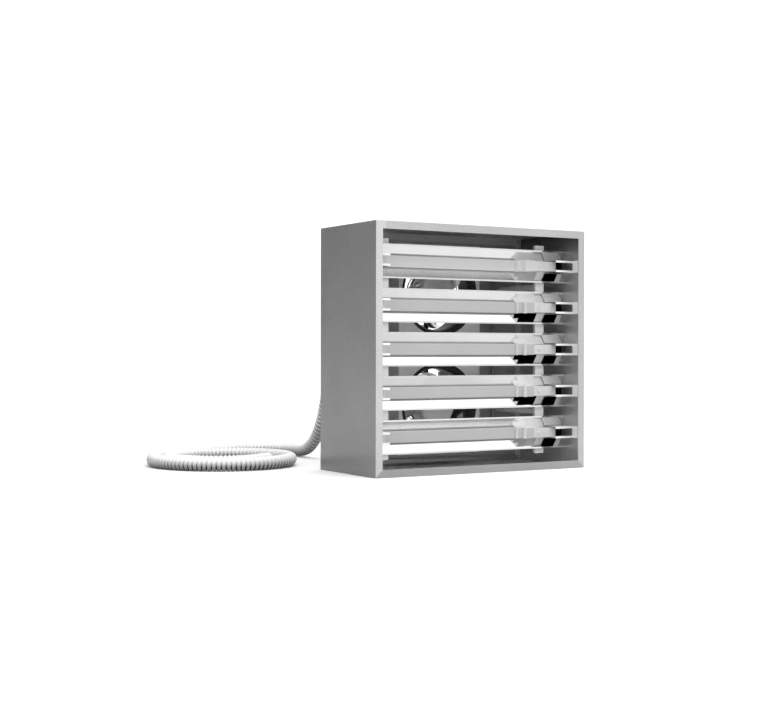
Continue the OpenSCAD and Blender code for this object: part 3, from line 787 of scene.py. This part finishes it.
class HeaterSettings(bpy.types.PropertyGroup):
    """Fine sizes and colours of the looks, which the solids don't set."""

    rib_pitch: bpy.props.FloatProperty(
        name="Rib pitch", description="Distance from one rib of the conduit to the next",
        default=8.5 * MM, min=4 * MM, max=12 * MM, unit="LENGTH")
    rib_depth: bpy.props.FloatProperty(
        name="Rib depth", description="Depth of the grooves between the conduit's ribs",
        default=2.4 * MM, min=0.3 * MM, max=3.5 * MM, unit="LENGTH")
    sheet_round: bpy.props.FloatProperty(
        name="Sheet rounding", description="Rounding of the case panels' edges",
        default=0.6 * MM, min=0.0, max=2 * MM, unit="LENGTH")
    blade_thickness: bpy.props.FloatProperty(
        name="Blade thickness", description="Thickness of the impellers' sheet blades",
        default=1.5 * MM, min=0.5 * MM, max=3 * MM, unit="LENGTH")
    case_colour: bpy.props.FloatVectorProperty(
        name="Case colour", description="Colour of the case's outer faces",
        default=linear("BCBCBD"), min=0.0, max=1.0, size=4, subtype="COLOR")
    conduit_colour: bpy.props.FloatVectorProperty(
        name="Conduit colour", description="Colour of the conduit's crests",
        default=linear("FAFAFA"), min=0.0, max=1.0, size=4, subtype="COLOR")


# Stage: the camera as solved from the photograph, in metres, degrees and millimetres of lens

CAMERA_PLACE = (-1.43837, -2.17949, 0.22706)
CAMERA_YAW = 30.557
CAMERA_PITCH = -0.165
CAMERA_ROLL = 0.110
CAMERA_LENS = 64.69

# Brightness of the room by direction: from, to, and the stretch of the direction's part between them

ROOM_LOW = (0.84, 1.35, (0.10, 0.42))
ROOM_OVER = (1.0, 0.9, (0.715, 0.745))
ROOM_ZENITH = (1.0, 1.7, (0.88, 0.93))
ROOM_BEHIND = (0.18, 1.0, (-1.25, -0.2))
BACKDROP = 1.2
PAPER = 0.67
PAPER_SEEN = 1.1


class HEATER_OT_stage(bpy.types.Operator):
    """Camera, floor, studio light and background"""

    bl_idname = "heater.stage"
    bl_label = "Stage"

    def execute(self, context):
        camera = bpy.data.objects.new("camera", bpy.data.cameras.new("camera"))
        camera.location = CAMERA_PLACE
        camera.rotation_euler = [math.radians(a) for a in (90 + CAMERA_PITCH, -CAMERA_ROLL, -CAMERA_YAW)]
        camera.data.lens = CAMERA_LENS
        camera.data.clip_end = 100
        bpy.context.scene.collection.objects.link(camera)
        bpy.context.scene.camera = camera
        bpy.context.scene.view_settings.view_transform = "Standard"
        self.floor()
        self.world()
        self.lamp("key", (0.9, -2.4, 2.6), (0, 0, 0.2), 2.4, 30)
        return {"FINISHED"}

    def floor(self):
        """White paper: a little brighter straight to the camera, so that it meets the white background."""
        side = 40.0
        points = [[x * side, y * side, -0.3 * MM] for x, y in ((-1, -1), (1, -1), (1, 1), (-1, 1))]
        material, tree = new_material("floor_paper")
        seen = add(tree, "LightPath").outputs["Is Camera Ray"]
        grain = spread(tree, noise(tree, 30), 0.985, 1.0)
        level = spread(tree, seen, PAPER, PAPER_SEEN, (0, 1))
        level = add(tree, "Math", {0: level, 1: grain}, operation="MULTIPLY").outputs["Value"]
        colour = add(tree, "CombineXYZ", {"X": level, "Y": level, "Z": level}).outputs["Vector"]
        shader = add(tree, "BsdfDiffuse", {"Color": colour})
        add(tree, "OutputMaterial", {"Surface": shader.outputs["BSDF"]})
        self.prop("floor", points, material)

    def prop(self, name, points, material):
        """One face of the stage, which isn't part of the object."""
        mesh = bpy.data.meshes.new(name)
        mesh.from_pydata([list(p) for p in points], [], [[0, 1, 2, 3]])
        mesh.materials.append(material)
        made = bpy.data.objects.new(name, mesh)
        bpy.context.scene.collection.objects.link(made)

    def lamp(self, name, place, aim, size, power):
        """A round soft lamp that shines at a point and isn't mirrored."""
        data = bpy.data.lights.new(name, "AREA")
        data.shape = "DISK"
        data.size = size
        data.energy = power
        made = bpy.data.objects.new(name, data)
        made.location = place
        way = np.array(aim, float) - np.array(place, float)
        flat = math.hypot(way[0], way[1])
        made.rotation_euler = (math.atan2(flat, -way[2]), 0, math.atan2(-way[0], way[1]))
        made.visible_glossy = False
        bpy.context.scene.collection.objects.link(made)

    def world(self):
        """A white room: dim at the horizon, bright above it and at the zenith, dark behind on the left."""
        world = bpy.data.worlds.new("studio")
        bpy.context.scene.world = world
        world.use_nodes = True
        tree = world.node_tree
        tree.nodes.clear()
        parts = add(tree, "SeparateXYZ", {"Vector": add(tree, "TexCoord").outputs["Generated"]})
        x, y, z = (parts.outputs[axis] for axis in "XYZ")
        back = add(tree, "Math", {0: x, 1: y}, operation="SUBTRACT").outputs["Value"]
        bands = [spread(tree, z, *band) for band in (ROOM_LOW, ROOM_OVER, ROOM_ZENITH)]
        level = all_of(tree, [*bands, spread(tree, back, *ROOM_BEHIND)])
        seen = add(tree, "LightPath").outputs["Is Camera Ray"]
        level = spread(tree, seen, level, BACKDROP, (0, 1))
        light = add(tree, "Background", {"Color": (1, 1, 1, 1), "Strength": level})
        add(tree, "OutputWorld", {"Surface": light.outputs["Background"]})


class HEATER_OT_conduit(bpy.types.Operator):
    """The ribbed conduit, its gland and its end fitting"""

    bl_idname = "heater.conduit"
    bl_label = "Conduit"

    def execute(self, context):
        settings = context.scene.heater
        metal = nickel()
        path = conduit_path()
        line, along = evenly(path, settings.rib_pitch / 10)
        # Broad crests, narrow grooves: r(s) = D/2 - depth * (0.5 - 0.5*cos(2*pi*s/pitch))^4
        groove = (0.5 - 0.5 * np.cos(2 * math.pi * along / settings.rib_pitch)) ** 4
        radii = CONDUIT_D / 2 - settings.rib_depth * groove
        conduit = piece("conduit", tube(line, radii, CONDUIT_SIDES), conduit_metal(settings.conduit_colour),
                        ("conduit_riser", "conduit_coil"), sharp=180)
        conduit.data.materials.append(groove_metal())
        # Faces in the grooves take the groove finish, with its painted shade.
        shaded_groove = (groove[1:] + groove[:-1]) / 2 > 0.45
        by_face = np.repeat(shaded_groove, CONDUIT_SIDES).astype(int)
        conduit.data.polygons.foreach_set("material_index", np.append(by_face, [0, 0]))
        end_way = heading(COIL_START + 360 * COIL_TURNS)
        end = path[-1]
        collar = [(r * MM, h * MM) for r, h in
                  ((9.0, 0), (11.2, 0), (11.5, 0.3), (11.5, 11.5), (11.2, 12), (10.0, 12.2), (10.0, 19.6),
                   (9.6, 20), (7.6, 20), (7.2, 19.6), (7.2, 3), (2, 3))]
        fitting = piece("end_fitting", lathe(collar, end, end_way, 56), metal,
                        ("conduit_end_fitting",))
        base = np.array([GLAND[0], PANEL_BACK, GLAND[2]])
        nose = [(r * MM, h * MM) for r, h in
                ((9.5, 6.6), (15.0, 6.8), (15.5, 7.6), (15.5, 20.8), (15.2, 21.6), (14.9, 22.2), (13.6, 29.2),
                 (13.2, 29.8), (12.7, 30), (9.5, 30))]
        thread = [(9.5, 0)] + [(12.0 - 0.35 * (k % 2), -0.75 * k) for k in range(16)] + [(9.5, -11.5)]
        hexagon = [(9.6, 0), (19.2, 0), (20.0, 0.8), (20.0, 6.2), (19.2, 7), (9.6, 7)]
        shape = joined([
            lathe(nose, base, BACK_AXIS, 72),
            lathe([(r * MM, h * MM) for r, h in hexagon], base, BACK_AXIS, 6, math.pi / 6),
            lathe([(r * MM, h * MM) for r, h in thread], base, BACK_AXIS, 48),
        ])
        gland = piece("gland", shape, metal, ("gland_body",))
        dress("gland_locknut", metal, 0.4 * MM)
        return {"FINISHED"}


class HEATER_OT_case(bpy.types.Operator):
    """Case panels, rails, posts and tray"""

    bl_idname = "heater.case"
    bl_label = "Case"

    def execute(self, context):
        settings = context.scene.heater
        steel = case_steel(settings.case_colour)
        for name in ("case_top", "case_bottom", "case_left", "case_right"):
            dress(name, steel, settings.sheet_round)
        dress("back_panel", panel_steel(), 0.3 * MM)
        zinc = zinc_steel()
        for name in ("rail_left", "rail_right", "fan_tray"):
            dress(name, zinc, 0.3 * MM)
        dress("rail_posts", zinc)
        return {"FINISHED"}


class HEATER_OT_modules(bpy.types.Operator):
    """Reflectors, emitters, caps, blocks and brackets"""

    bl_idname = "heater.modules"
    bl_label = "Emitter modules"

    def execute(self, context):
        mirror, quartz, ceramic, folded = mirror_aluminium(), coated_quartz(), cap_ceramic(), bracket_steel()
        body, lead = block_ceramic(), lead_ceramic()
        for i in MODULES:
            dress(f"reflector_{i}", mirror)
            dress(f"emitter_{i}", quartz)
            dress(f"lead_cap_{i}", lead, 0.6 * MM)
            dress(f"bracket_left_{i}", folded, 0.4 * MM)
            dress(f"bracket_right_{i}", folded, 0.4 * MM)
            self.terminal_block(f"terminal_block_{i}", body, ceramic)
        dress("plain_caps", ceramic, 0.6 * MM)
        dress("heating_coils", resistance_wire())
        return {"FINISHED"}

    def terminal_block(self, node, body, plate):
        """A front plate on a body that is a little smaller all round."""
        lowest, highest = low(node), high(node)
        plate_t, step = 3.0 * MM, 0.4 * MM
        face = [highest[0], lowest[1] + plate_t, highest[2]]
        piece(f"{node}_plate", block(lowest, face), plate, bevel=0.6 * MM)
        inner_low = lowest + np.array([step, plate_t, step])
        inner_high = highest - np.array([step, 0, step])
        piece(f"{node}_body", block(inner_low, inner_high), body, (node,), bevel=0.5 * MM)


BLADES = 5
BLADE_START = 36


class HEATER_OT_fans(bpy.types.Operator):
    """Fan frames, impellers and finger guards"""

    bl_idname = "heater.fans"
    bl_label = "Fans"

    def execute(self, context):
        paint, metal, wire, hub = fan_paint(), impeller_metal(), plated_wire(), hub_paint()
        for which in FANS:
            dress(f"fan_frame_{which}", paint)
            self.impeller(which, metal, hub, context.scene.heater.blade_thickness)
            self.guard(which, wire)
        return {"FINISHED"}

    def impeller(self, which, metal, hub, thickness):
        """A cup with its shaft, and the blades round it."""
        node = f"impeller_{which}"
        front, back = low(node)[1], high(node)[1]
        axis_place = np.array([0.0, front, middle(node)[2]])
        cup_r, cup_depth, wall = 38 * MM, 39 * MM, 4 * MM
        shaft_r, reach = 4 * MM, back - front
        profile = [(0, 0), (9 * MM, 0), (10 * MM, -0.6 * MM), (30 * MM, 0)]
        profile += [(cup_r - 6 * MM * (1 - math.sin(a)), -6 * MM * (1 - math.cos(a)))
                    for a in np.linspace(0.3, math.pi / 2, 7)]
        profile += [(cup_r, -cup_depth), (cup_r - wall, -cup_depth), (cup_r - wall, -3 * MM),
                    (shaft_r, -3 * MM), (shaft_r, -reach + 0.5 * MM), (shaft_r - 0.5 * MM, -reach),
                    (0, -reach)]
        piece(f"{node}_hub", lathe(profile, axis_place, FRONT_AXIS, 96), hub, (node,),
              body=f"{which}_impeller")
        root, tip = cup_r - 1.5 * MM, 70 * MM
        turns = [BLADE_START + k * 360 / BLADES for k in range(BLADES)]
        shapes = [self.blade(axis_place, turned, root, tip, thickness) for turned in turns]
        piece(f"{node}_blades", joined(shapes), metal, body=f"{which}_impeller", sharp=50)

    def blade(self, hub_front, turned, inner, tip, thickness):
        """A sickle blade: at each radius a chord with parabolic camber, turned by its pitch.

        Chord and pitch change evenly from the cup to the tip, and the sweep by the square of the way out.
        """
        rows, columns = 14, 16
        out, chordwise = np.linspace(0, 1, rows)[:, None], np.linspace(-0.5, 0.5, columns)[None, :]
        radius = inner + (tip - inner) * out
        chord = (46 + 12 * out) * MM * np.sqrt(1 - 0.35 * out ** 8)
        pitch = np.radians(44 - 14 * out)
        camber = 3.5 * MM * (1 - 4 * chordwise ** 2)
        angle = math.radians(turned) + 0.35 * out ** 2 + chordwise * chord * np.cos(pitch) / radius
        angle = angle + camber * np.sin(pitch) / radius
        behind = 20 * MM + chordwise * chord * np.sin(pitch) - camber * np.cos(pitch)
        radius = radius + 0 * chordwise
        skins = []
        for side in (-0.5, 0.5):
            place = [radius * np.cos(angle), behind + side * thickness, radius * np.sin(angle)]
            skins.append(hub_front + np.stack(place, axis=2))
        return slab(*skins)

    def guard(self, which, metal):
        """Six rings of wire, and four bars with a bent end and an eye round each screw."""
        node = f"fan_guard_{which}"
        wire = 1.25 * MM
        z, outer, inner = middle(node)[2], 77 * MM, 14 * MM
        level, foot = high(node)[1] - wire, low(node)[1] + wire
        shapes = [ring([0, level, z], BACK_AXIS, inner + (outer - inner) * k / 5, wire) for k in range(6)]
        bends = ((inner, level), (73 * MM, level), (75.5 * MM, level - 0.4 * MM),
                 (77.5 * MM, foot + 0.7 * MM), (79.6 * MM, foot))
        for turn in FAN_SCREW_TURNS:
            way = np.array([math.cos(turn), 0, math.sin(turn)])
            places = [[r * way[0], y, z + r * way[2]] for r, y in bends]
            path = np.concatenate([places[:1], smooth(places[1:], 6)])
            shapes.append(tube(path, wire, 12))
            eye = FAN_SCREW_CIRCLE * way + np.array([0, foot, z])
            shapes.append(ring(eye, BACK_AXIS, 3.5 * MM, wire, 32, 10))
        piece(f"{node}_wires", joined(shapes), metal, (node,))


class HEATER_OT_small(bpy.types.Operator):
    """Screws, rivets, nuts and wiring"""

    bl_idname = "heater.small"
    bl_label = "Fasteners and wiring"

    def execute(self, context):
        steel = fastener_steel()
        dress("cap_nuts", steel)
        self.cap_screws(bright_zinc())
        self.rear_screws(steel)
        self.rivets(steel)
        self.wiring()
        self.strip(steel)
        return {"FINISHED"}

    def cap_screws(self, steel):
        """A cross head screw through each cap."""
        lowest, highest = low("cap_screws"), high("cap_screws")
        head_r = 3.5 * MM
        shapes = []
        for x, cap in ((lowest[0] + head_r, "plain_caps"), (highest[0] - head_r, "lead_cap_1")):
            face = low(cap)[1]
            for z in MODULE_Z:
                shapes.append(screw_head([x, face, z], FRONT_AXIS, head_r, HEAD_HEIGHT))
                shapes.append(rod([x, face - 0.2 * MM, z], [x, highest[1], z], 2 * MM))
        piece("cap_screws_crossed", joined(shapes), steel, ("cap_screws",))

    def rear_screws(self, steel):
        """Eight screws round the back panel, and four smaller ones on each finger guard."""
        highest, lowest = high("rear_screws"), low("rear_screws")
        big, small, shank = 4.0 * MM, 3.2 * MM, 2.0 * MM
        mid = (highest[2] + lowest[2]) / 2
        wide, tall = highest[0] - big, (highest[2] - lowest[2]) / 2 - big
        lug = high("fan_guard_upper")[1] - PANEL_BACK - 2.5 * MM
        shapes = []
        for across_step in (-1, 0, 1):
            for up_step in (-1, 0, 1):
                if across_step or up_step:
                    x, z = across_step * wide, mid + up_step * tall
                    shapes.append(screw_head([x, PANEL_BACK, z], BACK_AXIS, big, HEAD_HEIGHT))
                    shapes.append(rod([x, PANEL_BACK - 4.5 * MM, z], [x, PANEL_BACK + 0.2 * MM, z], shank))
        for which in FANS:
            for turn in FAN_SCREW_TURNS:
                x = FAN_SCREW_CIRCLE * math.cos(turn)
                z = middle(f"fan_guard_{which}")[2] + FAN_SCREW_CIRCLE * math.sin(turn)
                shapes.append(screw_head([x, PANEL_BACK + lug, z], BACK_AXIS, small, HEAD_HEIGHT))
                shapes.append(rod([x, lowest[1], z], [x, PANEL_BACK + lug + 0.2 * MM, z], shank))
        piece("rear_screws_crossed", joined(shapes), steel, ("rear_screws",))

    def rivets(self, steel):
        """Blind rivets: a flat front end, a shank and a domed rear head."""
        lowest, highest = low("reflector_rivets"), high("reflector_rivets")
        head_r, head_h, shank = 4.0 * MM, 1.8 * MM, 2.0 * MM
        reach = highest[1] - lowest[1]
        dome = [(head_r * math.cos(a), reach - head_h * (1 - 0.9 * math.sin(a)))
                for a in np.linspace(0.1, math.pi / 2 - 0.25, 6)]
        profile = [(0, 0), (shank - 0.3 * MM, 0), (shank, 0.3 * MM), (shank, reach - head_h),
                   (head_r, reach - head_h), *dome, (1.2 * MM, reach), (1.0 * MM, reach - 0.4 * MM),
                   (0, reach - 0.4 * MM)]
        shapes = [lathe(profile, [x, lowest[1], z], BACK_AXIS, 32)
                  for x in (lowest[0] + head_r, highest[0] - head_r) for z in MODULE_Z]
        piece("rivets_domed", joined(shapes), steel, ("reflector_rivets",))

    def wiring(self):
        """The bundle up the panel with its ties, a lead to each block, and the supply from the gland."""
        lowest, highest = low("wiring_loom"), high("wiring_loom")
        bundle_r, lead_r = 3.7 * MM, 2.0 * MM
        lead_x = highest[0] - lead_r
        web_y = lowest[1]
        bundle_y = PANEL_FACE - 0.3 * MM - bundle_r
        bundle_x = middle("rail_right")[0] - 16.5 * MM
        mid = high("terminal_strip")[2] - 11 * MM
        strip_x = high("terminal_strip")[0]
        supply_y, turn = PANEL_FACE - 15 * MM, 5 * MM
        shapes = [
            rod([bundle_x, bundle_y, lowest[2]], [bundle_x, bundle_y, highest[2]], bundle_r, 32),
            rod([strip_x, bundle_y, mid], [bundle_x, bundle_y, mid], bundle_r, 32),
        ]
        for z in np.linspace(lowest[2] + 18 * MM, highest[2] - 18 * MM, 9):
            shapes.append(ring([bundle_x, bundle_y, z], [0, 0, 1], bundle_r - 0.1 * MM, 0.7 * MM, 40, 8))
        for z in MODULE_Z:
            path = elbow([bundle_x, bundle_y, z], [lead_x, bundle_y, z], [lead_x, web_y, z], turn)
            shapes.append(tube(path, lead_r, 16))
        path = elbow([GLAND[0], supply_y, high("terminal_strip")[2]], [GLAND[0], supply_y, GLAND[2]],
                     [GLAND[0], supply_y + 22 * MM, GLAND[2]], turn)
        shapes.append(tube(path, bundle_r, 20))
        piece("wiring", joined(shapes), lead_jacket(), ("wiring_loom",), sharp=60)

    def strip(self, steel):
        """A terminal strip: a base, a raised housing over each pole and its two screws."""
        lowest, highest = low("terminal_strip"), high("terminal_strip")
        poles, rib = 5, 1.2 * MM
        pitch = (highest[0] - lowest[0]) / poles
        base_y = highest[1] - 8 * MM
        shapes = [block([lowest[0], base_y, lowest[2]], highest)]
        screws = []
        for k in range(poles):
            x = lowest[0] + k * pitch
            shapes.append(block([x + rib, lowest[1], lowest[2] + 4 * MM],
                                [x + pitch - rib, base_y + 0.2 * MM, highest[2] - 4 * MM]))
            for z in (lowest[2] + 7.5 * MM, highest[2] - 7.5 * MM):
                place = [x + pitch / 2, lowest[1] + 1 * MM, z]
                screws.append(screw_head(place, FRONT_AXIS, 2.4 * MM, 0.8 * MM))
        piece("strip_housing", joined(shapes), cap_ceramic(), ("terminal_strip",),
              bevel=0.5 * MM)
        piece("strip_screws", joined(screws), steel)


class HEATER_PT_panel(bpy.types.Panel):
    """Sidebar panel with every step and setting"""

    bl_idname = "HEATER_PT_panel"
    bl_label = "Infrared heater"
    bl_space_type = "VIEW_3D"
    bl_region_type = "UI"
    bl_category = "Heater"

    def draw(self, context):
        for step in STEPS:
            self.layout.operator(step.bl_idname)
        for name in HeaterSettings.__annotations__:
            self.layout.prop(context.scene.heater, name)


STEPS = (HEATER_OT_stage, HEATER_OT_conduit, HEATER_OT_case, HEATER_OT_modules, HEATER_OT_fans,
         HEATER_OT_small)
CLASSES = (HeaterSettings, *STEPS, HEATER_PT_panel)


def register():
    for cls in CLASSES:
        bpy.utils.register_class(cls)
    bpy.types.Scene.heater = bpy.props.PointerProperty(type=HeaterSettings)


def unregister():
    del bpy.types.Scene.heater
    for cls in reversed(CLASSES):
        bpy.utils.unregister_class(cls)


def main():
    register()
    for step in STEPS:
        getattr(bpy.ops.heater, step.bl_idname.split(".")[1])()


if __name__ == "__main__":
    main()
